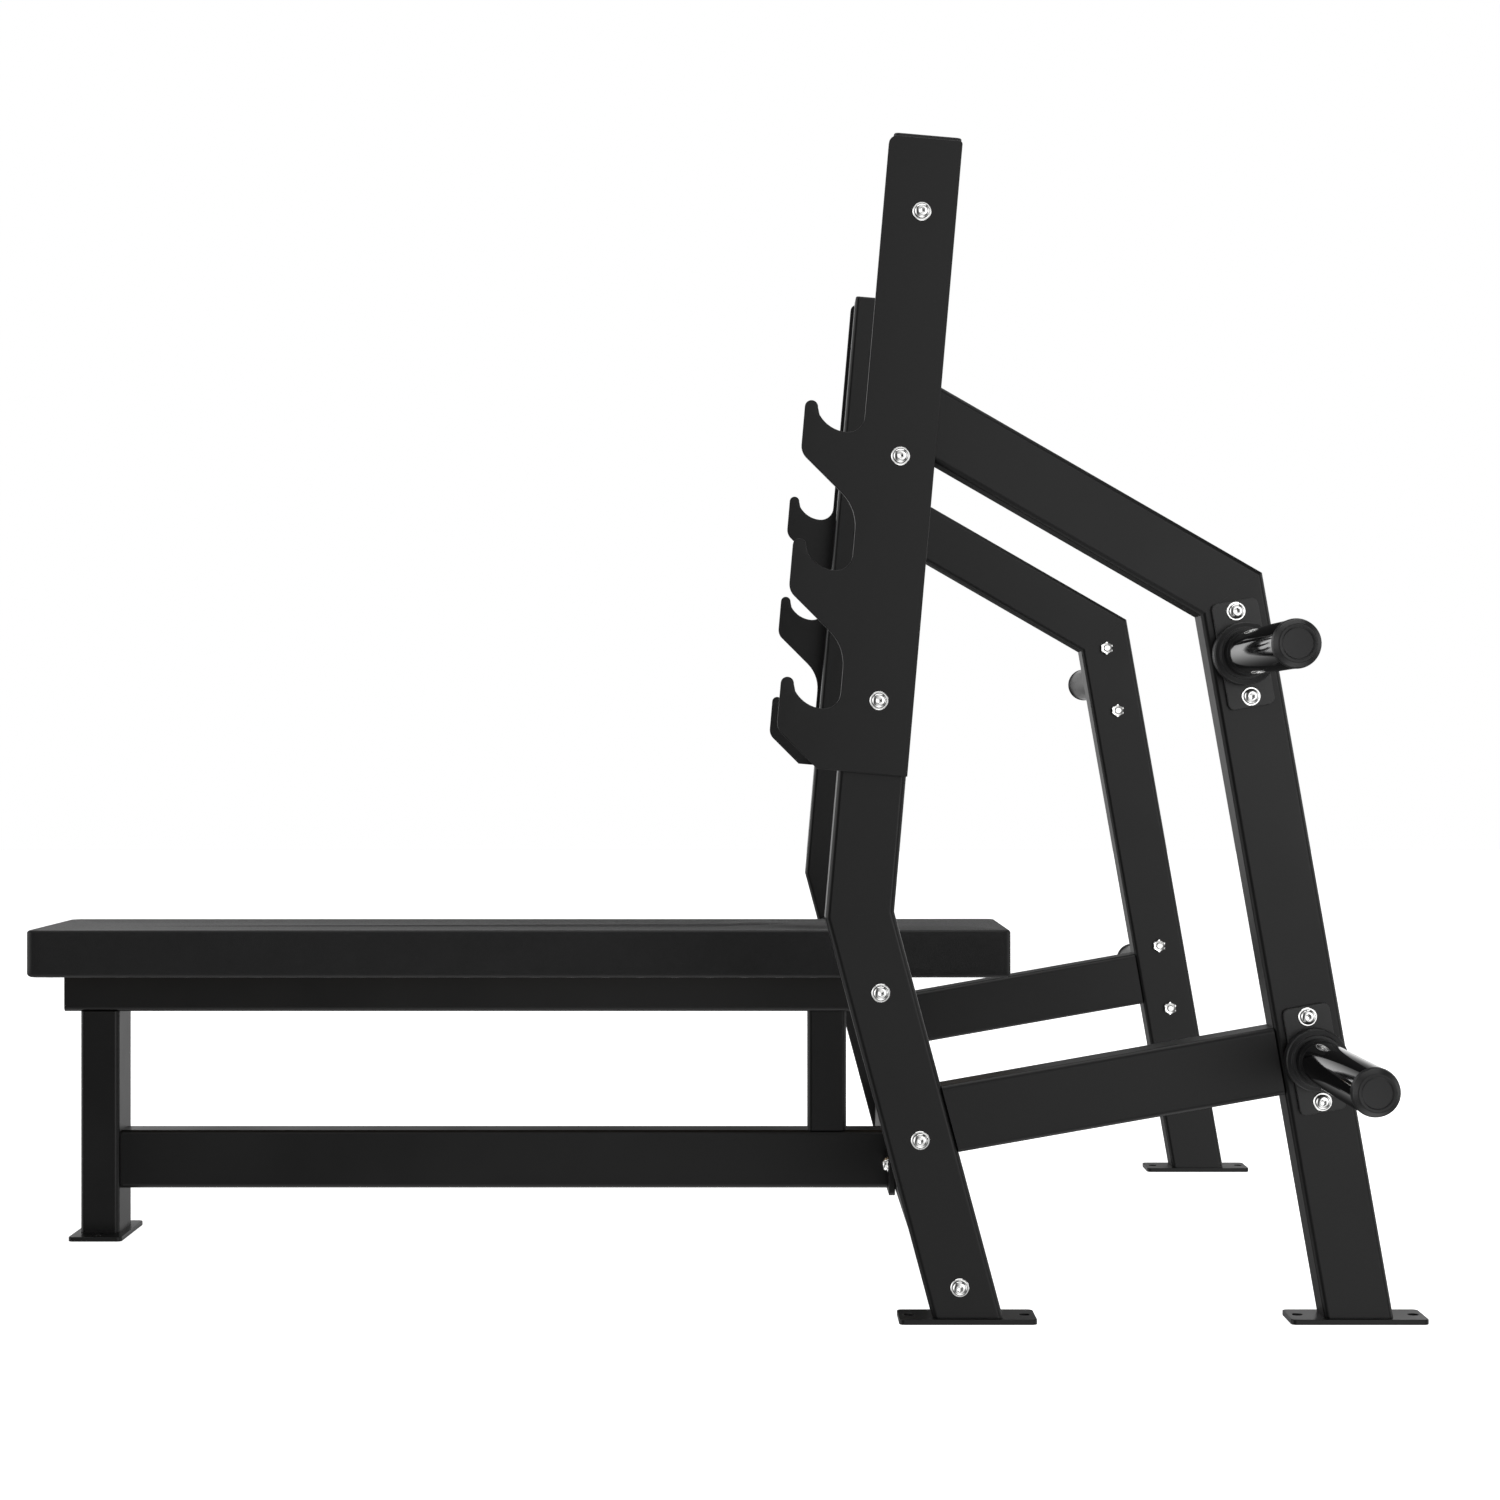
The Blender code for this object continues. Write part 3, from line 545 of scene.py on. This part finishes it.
def nut_profile(base):
    """A hex nut with chamfered ends, whose outer end is at this height."""
    flat = NUT_ACROSS / 2
    return [
        (BOLT_RADIUS + 0.0001, base + 0.0010),
        (BOLT_RADIUS + 0.0007, base + 0.0003),
        (flat * 0.93, base),
        (flat, base + 0.0012, "hex"),
        (flat, base + NUT_HIGH - 0.0008, "hex"),
        (flat * 0.94, base + NUT_HIGH),
        (BOLT_RADIUS + 0.0001, base + NUT_HIGH),
    ]


def bolt_piece(name, axis, has_nut=True):
    """Button-head bolt with washer and hex socket, and its nut, where the CAD bolt is."""
    low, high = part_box(name)
    reach = abs((high - low).dot(axis)) / 2
    above = WASHER_THICK + HEAD_HIGH
    thread_end = above - 2 * reach
    matrix = facing(axis, (low + high) / 2 + axis * (reach - WASHER_THICK - HEAD_HIGH))
    edit = bmesh.new()
    add_turned(edit, washer_profile(), matrix, closed_ring=True)
    add_turned(edit, bolt_profile(thread_end), matrix)
    if has_nut:
        add_turned(edit, nut_profile(thread_end + THREAD_PAST_NUT), matrix, closed_ring=True)
    piece(name, mesh_from(name, edit, 32), ZINC, "zinc_plated_steel", name, weighted=False)


def turned_piece(name, profile, matrix, steps, hollow=False):
    """A moulded plastic piece turned about the matrix's z axis, in place of the CAD node of that name."""
    edit = bmesh.new()
    add_turned(edit, profile, matrix, steps, closed_ring=hollow)
    piece(name, mesh_from(name, edit, 45), PLASTIC, "black_plastic", name, weighted=False)


def collar_profile(radius, long):
    """A stepped ring around the horn, from its outer end to its seat."""
    bore = HORN_RADIUS + HORN_FIT
    return filleted([
        (bore, 0, 0),
        (bore, long, 0),
        (0.0285, long, 0.0008),
        (0.0292, long * 0.80, 0.0012),
        (radius - 0.0014, long * 0.74, 0.0006),
        (radius, long * 0.66, 0.0016),
        (radius, 0.0006, 0.0006),
        (bore, 0, 0),
    ])[:-1]


def cap_profile(radius, high):
    """A domed cap with a shallow round hollow, and a stem that goes into the horn."""
    hollow = high - CAP_HOLLOW
    return filleted([
        (AXIS_RADIUS, hollow, 0),
        (0.0152, hollow, 0.0008),
        (0.0165, high - 0.0003, 0.0010),
        (0.0195, high, 0.002),
        (radius - 0.0012, high * 0.62, 0.0045),
        (radius, 0.0010, 0.001),
        (radius - 0.0006, 0, 0.0003),
        (CAP_STEM_RADIUS, 0, 0),
        (CAP_STEM_RADIUS, -CAP_STEM_LONG, 0.001),
        (AXIS_RADIUS, -CAP_STEM_LONG, 0),
    ], 6)


def horn_tube_profile(long):
    return filleted([
        (HORN_BORE, 0, 0),
        (HORN_RADIUS, 0, 0),
        (HORN_RADIUS, long, 0.0006),
        (HORN_BORE, long, 0.0003),
        (HORN_BORE, 0, 0),
    ])[:-1]


def horn_pieces(level, label, side):
    """One storage horn: its bolted base plate, glossy tube, collar and end cap."""
    outward = Vector((0, side, 0))
    horn, collar, cap = (f"{level}_{kind}_{label}" for kind in ("horn", "horn_collar", "horn_cap"))
    plate = plate_mesh(f"{horn}_plate", horn, -outward, HORN_PLATE_THICK)
    # The plate takes the lighter copy of the powder coat. Its raised tone is painted light.
    piece(f"{horn}_plate", plate, HORN_POWDER_PAINTED_LIGHT, "powder_coat_black", horn)

    collar_low, collar_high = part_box(collar)
    centre = (collar_low + collar_high) / 2
    seat = min(collar_low.y * side, collar_high.y * side)
    profile = collar_profile((collar_high.x - collar_low.x) / 2, collar_high.y - collar_low.y)
    at_seat = facing(outward, Vector((centre.x, seat * side, centre.z)))
    turned_piece(collar, profile, at_seat, COLLAR_STEPS, hollow=True)

    cap_low, cap_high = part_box(cap)
    tip = max(cap_low.y * side, cap_high.y * side)
    high = tip - max(abs(corner.y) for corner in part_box(horn))
    at_end = facing(outward, Vector((centre.x, (tip - high) * side, centre.z)))
    turned_piece(cap, cap_profile((cap_high.x - cap_low.x) / 2, high), at_end, COLLAR_STEPS)

    edit = bmesh.new()
    add_turned(edit, horn_tube_profile(tip - high - seat), at_seat, HORN_STEPS, closed_ring=True)
    piece(f"{horn}_tube", mesh_from(horn, edit, 45), GLOSS, "powder_coat_black", weighted=False)


def steel_plate(name, normal):
    """A flat plate that is a CAD node of its own, as thick as its box is along the normal."""
    low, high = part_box(name)
    thick = abs((high - low).dot(normal))
    piece(name, plate_mesh(name, name, normal, thick), POWDER, "powder_coat_black", name)


def side_frame(label, side):
    outward = Vector((0, side, 0))
    # Mitred and butted ends are run on by the CAD's gap, so that each welded joint closes.
    half = GAP / 2
    upright = tube_piece(f"upright_tube_{label}", Y_AXIS, (half, half))
    for stem in ("front_leg", "rear_arm", "rear_leg", "side_brace"):
        tube_piece(f"{stem}_tube_{label}", Y_AXIS, (half, half))
    top_end = 1 if upright.along.z > 0 else 0
    tube_plug(f"upright_plug_{label}", upright, top_end, PLUG_HIGH)
    for stem in ("front", "rear"):
        steel_plate(f"{stem}_foot_plate_{label}", Z_AXIS)
    steel_plate(f"hook_plate_{label}", outward)
    for number in (1, 2, 3):
        bolt_piece(f"hook_bolt_{number}_{label}", outward)
        bolt_piece(f"leg_bolt_{number}_{label}", outward)
    for level in ("upper", "lower"):
        horn_pieces(level, label, side)
        for spot in ("top", "bottom"):
            bolt_piece(f"{level}_horn_bolt_{spot}_{label}", outward)


def cross_beam():
    name = "crossbeam"
    run = TubeRun(name, Z_AXIS)
    inset = -(END_PLATE_THICK - GAP)
    piece(name, tube_mesh(name, run, (inset, inset)), POWDER, "powder_coat_black", name)
    for label, side in (("left", -1), ("right", 1)):
        plate = plate_mesh(f"{name}_plate_{label}", name, Vector((0, side, 0)), END_PLATE_THICK)
        piece(f"{name}_plate_{label}", plate, POWDER, "powder_coat_black", name)


def bench_frame():
    beam = tube_piece("bench_top_beam", Y_AXIS)
    end_labels = ("front", "rear") if beam.along.x > 0 else ("rear", "front")
    for end, label in enumerate(end_labels):
        tube_plug(f"beam_plug_{label}", beam, end, -PLUG_SUNK)
    tube_piece("bench_front_leg", Y_AXIS, (GAP, GAP))
    tube_piece("bench_mid_leg", Y_AXIS, (GAP, GAP))
    rail = TubeRun("bench_rail", Y_AXIS)
    inset = -(END_PLATE_THICK - GAP)
    extend = (GAP, inset) if rail.along.x > 0 else (inset, GAP)
    piece("bench_rail", tube_mesh("bench_rail", rail, extend), POWDER, "powder_coat_black", "bench_rail")
    plate = plate_mesh("bench_rail_plate", "bench_rail", X_AXIS, END_PLATE_THICK)
    piece("bench_rail_plate", plate, POWDER, "powder_coat_black", "bench_rail")
    steel_plate("bench_foot_plate", Z_AXIS)
    for label in ("left", "right"):
        bolt_piece(f"rail_bolt_{label}", -X_AXIS)
    for label in ("front", "rear"):
        bolt_piece(f"pad_bolt_{label}", -Z_AXIS, has_nut=False)


# Pad --------------------------------------------------------------------------------------------------------

PAD_CORNER = 0.011
PAD_TOP_EDGE = 0.0038
PAD_BOTTOM_EDGE = 0.0055
PAD_STEP = 0.010
PAD_CORNER_STEPS = 6
PAD_SIDE_STEPS = 6
PAD_TOP_ROWS = 11
PAD_WRAP = 0.012
PAD_FRAMES = 12
PAD_PRESSURE = 4
PAD_STIFFNESS = 40
PAD_BENDING = 20
PAD_SMOOTHING = 12
# A point moves by PAD_SWELL at most. Over PAD_CROWN_RUN the limit drops to PAD_EDGE_SHARE of it at an edge.
PAD_SWELL = 0.0025
PAD_CROWN_RUN = 0.06
PAD_EDGE_SHARE = 0.05
STAPLE_STEP, STAPLE_LONG, STAPLE_WIRE = 0.045, 0.010, 0.0007
STAPLE_INSET = PAD_WRAP * 0.62


def pad_outline(wide, high, radius, step):
    """A closed outline with round corners, and points along its straight sides this far apart."""
    points = []
    corners = rounded_rectangle(wide, high, radius, PAD_CORNER_STEPS)
    count = len(corners) // 4
    for quarter in range(4):
        corner = corners[quarter * count:(quarter + 1) * count]
        points += corner
        start, end = Vector(corner[-1]), Vector(corners[(quarter + 1) * count % len(corners)])
        steps = max(1, round((end - start).length / step))
        points += [tuple(start.lerp(end, index / steps)) for index in range(1, steps)]
    return points


def pad_mesh(low, high, recess):
    """The cover before it is filled: rounded edges, a wrap under the rim, and a recess for the board."""
    middle = (low + high) / 2
    wide, deep = high.x - low.x, high.y - low.y
    side_low, side_high = low.z + PAD_BOTTOM_EDGE, high.z - PAD_TOP_EDGE
    layers = [(PAD_WRAP, low.z + recess), (PAD_WRAP, low.z + recess / 2), (PAD_WRAP, low.z)]
    layers += [
        (PAD_BOTTOM_EDGE * (1 - sin(turn)), low.z + PAD_BOTTOM_EDGE * (1 - cos(turn)))
        for turn in (radians(angle) for angle in (0, 22, 45, 68, 90))
    ]
    layers += [
        (0, side_low + (side_high - side_low) * index / PAD_SIDE_STEPS) for index in range(1, PAD_SIDE_STEPS)
    ]
    layers += [
        (PAD_TOP_EDGE * (1 - cos(turn)), high.z - PAD_TOP_EDGE * (1 - sin(turn)))
        for turn in (radians(angle) for angle in (0, 18, 36, 54, 72, 90))
    ]
    base = pad_outline(wide, deep, PAD_CORNER, PAD_STEP)
    edit = bmesh.new()
    rings = []
    for inset, height in layers:
        x_share, y_share = 1 - 2 * inset / wide, 1 - 2 * inset / deep
        rings.append([edit.verts.new((middle.x + x * x_share, y * y_share, height)) for x, y in base])
    bridge(edit, rings)
    return edit, rings


def fill_top(edit, ring, low, high):
    """Squares across the pad's top inside this ring of vertices, in rows from the outside inwards."""
    middle_x, z = (low.x + high.x) / 2, ring[0].co.z
    half_x = max(abs(vertex.co.x - middle_x) for vertex in ring)
    half_y = max(abs(vertex.co.y) for vertex in ring)
    inner = ring
    for row in range(1, PAD_TOP_ROWS + 1):
        inset = half_y * row / (PAD_TOP_ROWS + 0.5)
        x_share, y_share = 1 - inset / half_x, 1 - inset / half_y
        following = [
            edit.verts.new((middle_x + (vertex.co.x - middle_x) * x_share, vertex.co.y * y_share, z))
            for vertex in ring
        ]
        bridge(edit, [inner, following])
        inner = following
    edit.faces.new(inner)


def move_limit(point, low, high):
    """How far this point of the cover may move. It is least at the pad's edges and near its underside."""
    sides = (point.x - low.x, high.x - point.x, point.y - low.y, high.y - point.y)
    inside = max(0.0, min(*sides, point.z - low.z - PAD_BOTTOM_EDGE))
    share = min(1.0, PAD_EDGE_SHARE + (1 - PAD_EDGE_SHARE) * inside / PAD_CROWN_RUN)
    return PAD_SWELL * share * min(1.0, (point.z - low.z) / PAD_CROWN_RUN)


def swell(made, held, low, high):
    """Fills the cover with foam: cloth under pressure, with its moves smoothed and limited."""
    mesh = made.data
    before = [vertex.co.copy() for vertex in mesh.vertices]
    group = made.vertex_groups.new(name="stapled")
    group.add(held, 1.0, "REPLACE")
    cloth = made.modifiers.new("foam", "CLOTH")
    settings = cloth.settings
    settings.use_pressure = True
    settings.uniform_pressure_force = PAD_PRESSURE
    settings.effector_weights.gravity = 0
    settings.vertex_group_mass = group.name
    settings.quality = 4
    settings.tension_stiffness = settings.compression_stiffness = PAD_STIFFNESS
    settings.bending_stiffness = PAD_BENDING
    cloth.point_cache.frame_start, cloth.point_cache.frame_end = 1, PAD_FRAMES
    scene = bpy.context.scene
    for moment in range(1, PAD_FRAMES + 1):
        scene.frame_set(moment)
    filled = made.evaluated_get(bpy.context.evaluated_depsgraph_get()).to_mesh()
    after = [vertex.co.copy() for vertex in filled.vertices]
    made.modifiers.remove(cloth)
    made.vertex_groups.remove(group)
    scene.frame_set(1)
    moves = [new - old for old, new in zip(before, after)]
    beside = [[] for _ in moves]
    for edge in mesh.edges:
        first, second = edge.vertices
        beside[first].append(second)
        beside[second].append(first)
    for _ in range(PAD_SMOOTHING):
        moves = [sum((moves[other] for other in others), Vector()) / len(others) for others in beside]
    for vertex, old, move in zip(mesh.vertices, before, moves):
        vertex.co = old + move * min(1.0, move_limit(old, low, high) / max(move.length, 1e-9))


def pad_cover():
    """The padded cover, swollen a little by its foam over the board that it is stapled to."""
    low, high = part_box("pad")
    board_low, board_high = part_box("pad_board")
    edit, rings = pad_mesh(low, high, board_high.z - board_low.z + GAP)
    fill_top(edit, rings[-1], low, high)
    edit.faces.new(rings[0])
    mesh = mesh_from("pad", edit, 180)
    made = piece("pad_cushion", mesh, VINYL, "black_vinyl", "pad", weighted=False)
    rim = PAD_WRAP * 0.9
    held = []
    for vertex in mesh.vertices:
        x, y, z = vertex.co
        in_recess = abs(y) < high.y - rim and z < board_high.z + 0.002 and low.x + rim < x < high.x - rim
        if in_recess or z < low.z + PAD_BOTTOM_EDGE * 1.2:
            held.append(vertex.index)
    swell(made, held, low, high)


def pad_staples():
    """The staples that hold the cover's wrapped rim, in a row around the underside."""
    low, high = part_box("pad")
    edit = bmesh.new()
    long, deep = high.x - low.x - 2 * STAPLE_INSET, high.y - low.y - 2 * STAPLE_INSET
    middle = (low + high) / 2
    for run, other, along in ((long, deep, X_AXIS), (deep, long, Y_AXIS)):
        across = Z_AXIS.cross(along)
        count = round(run / STAPLE_STEP)
        for side in (-1, 1):
            for index in range(count):
                place = middle + along * run * ((index + 0.5) / count - 0.5) + across * side * other / 2
                place.z = low.z + STAPLE_WIRE * 0.2
                size = Matrix.Diagonal((STAPLE_LONG, STAPLE_WIRE, STAPLE_WIRE, 1))
                matrix = axes_matrix(along, across, place) @ size
                made = bmesh.ops.create_cube(edit, size=1, matrix=matrix)["verts"]
                edges = list({edge for vertex in made for edge in vertex.link_edges})
                bmesh.ops.bevel(edit, geom=edges, offset=STAPLE_WIRE * 0.25, segments=2, affect="EDGES")
    piece("pad_staples", mesh_from("pad_staples", edit), ZINC, "zinc_plated_steel", weighted=False)


# Studio -----------------------------------------------------------------------------------------------------


def soft_box(name, spot, target, size, power):
    light = bpy.data.lights.new(name, "AREA")
    light.shape = "RECTANGLE"
    light.size, light.size_y = size
    light.energy = power
    lamp = bpy.data.objects.new(name, light)
    bpy.context.scene.collection.objects.link(lamp)
    lamp.location = spot
    lamp.rotation_euler = (Vector(target) - Vector(spot)).to_track_quat("-Z", "Y").to_euler()


# The studio's broad soft lights: the way to each one, how tightly its glow falls off, and how bright it is.
SOFT_LIGHTS = (
    ((0.4, -1, 0.1), 30, 3.6),
    ((0, -1, 0.7), 20, 1.0),
    ((0, -1, -0.6), 20, 1.2),
    ((-0.45, 1, 0.1), 30, 1.9),
    ((0.45, 1, 0.1), 30, 2.0),
    ((1, 0, 0.1), 8, 1.7),
    ((-1, 0, 0.1), 8, 2.4),
    ((0, 0, -1), 6, 2.1),
)
TOP_BOX_POWER = 105
TOP_BOX_HIGH, TOP_BOX_SIZE = 4.2, (4.5, 4.5)
FLOOR_HALF_SIZE, FLOOR_HEIGHT = 14, -0.0005


def math_node(tree, operation, first, second):
    made = node(tree, "ShaderNodeMath", operation=operation)
    for socket, value in zip(made.inputs, (first, second)):
        if isinstance(value, (int, float)):
            socket.default_value = value
        else:
            tree.links.new(value, socket)
    return made.outputs["Value"]


def studio():
    """Soft lights all round a white backdrop, a soft box overhead, and a pale floor."""
    world = bpy.data.worlds.new("studio")
    bpy.context.scene.world = world
    world.use_nodes = True
    tree = world.node_tree
    background = tree.nodes["Background"]
    direction = node(tree, "ShaderNodeTexCoord").outputs["Generated"]
    total = None
    for towards, tightness, strength in SOFT_LIGHTS:
        facing_it = node(tree, "ShaderNodeVectorMath", operation="DOT_PRODUCT")
        tree.links.new(direction, facing_it.inputs[0])
        facing_it.inputs[1].default_value = Vector(towards).normalized()
        ahead = math_node(tree, "MAXIMUM", facing_it.outputs["Value"], 0)
        glow = math_node(tree, "MULTIPLY", math_node(tree, "POWER", ahead, tightness), strength)
        total = math_node(tree, "ADD", total, glow) if total else glow
    path = node(tree, "ShaderNodeLightPath")
    seen = node(tree, "ShaderNodeMix", data_type="FLOAT")
    tree.links.new(path.outputs["Is Camera Ray"], seen.inputs["Factor"])
    tree.links.new(total, seen.inputs["A"])
    seen.inputs["B"].default_value = 1
    tree.links.new(seen.outputs["Result"], background.inputs["Color"])
    soft_box("top_box", (0, 0, TOP_BOX_HIGH), (0, 0, 0), TOP_BOX_SIZE, TOP_BOX_POWER)

    edit = bmesh.new()
    bmesh.ops.create_grid(edit, x_segments=2, y_segments=2, size=FLOOR_HALF_SIZE)
    mesh = bpy.data.meshes.new("floor")
    edit.to_mesh(mesh)
    edit.free()
    floor = bpy.data.objects.new("floor", mesh)
    bpy.context.scene.collection.objects.link(floor)
    floor.location.z = FLOOR_HEIGHT
    pale, _, shader = new_material("pale_floor", 0.9, specular=0.0)
    shader.inputs["Base Color"].default_value = (0.9, 0.9, 0.9, 1)
    shader.inputs["Emission Color"].default_value = (1, 1, 1, 1)
    shader.inputs["Emission Strength"].default_value = 1.0
    mesh.materials.append(pale)
    # Only the camera sees it, so that the surroundings light the undersides as well.
    floor.visible_glossy = floor.visible_diffuse = floor.visible_shadow = False


def camera():
    lens = bpy.data.cameras.new("camera")
    lens.lens = CAMERA_LENS
    lens.sensor_width = 36
    lens.clip_start, lens.clip_end = 0.1, 100
    eye = bpy.data.objects.new("camera", lens)
    bpy.context.scene.collection.objects.link(eye)
    eye.location = CAMERA_AT
    eye.rotation_euler = (pi / 2, 0, 0)
    bpy.context.scene.camera = eye


# The horn plates' copy of the satin powder coat is about seven times lighter in tone. This is painted light
# for the brighter light they catch, though they are the same black as the frame.
POWDER, HORN_POWDER_PAINTED_LIGHT = powder_coat("satin_powder_coat", 0.0048), powder_coat("horn_powder_coat_painted_light", 0.034)
GLOSS, PLASTIC, ZINC, VINYL, PLYWOOD = gloss_black(), plastic(), zinc(), vinyl(), plywood()
for side_label, side_sign in (("left", -1), ("right", 1)):
    side_frame(side_label, side_sign)
cross_beam()
bench_frame()
pad_cover()
pad_staples()
NODES["pad_board"].data.materials.clear()
NODES["pad_board"].data.materials.append(PLYWOOD)
studio()
camera()
bpy.context.scene.view_settings.view_transform = "Standard"
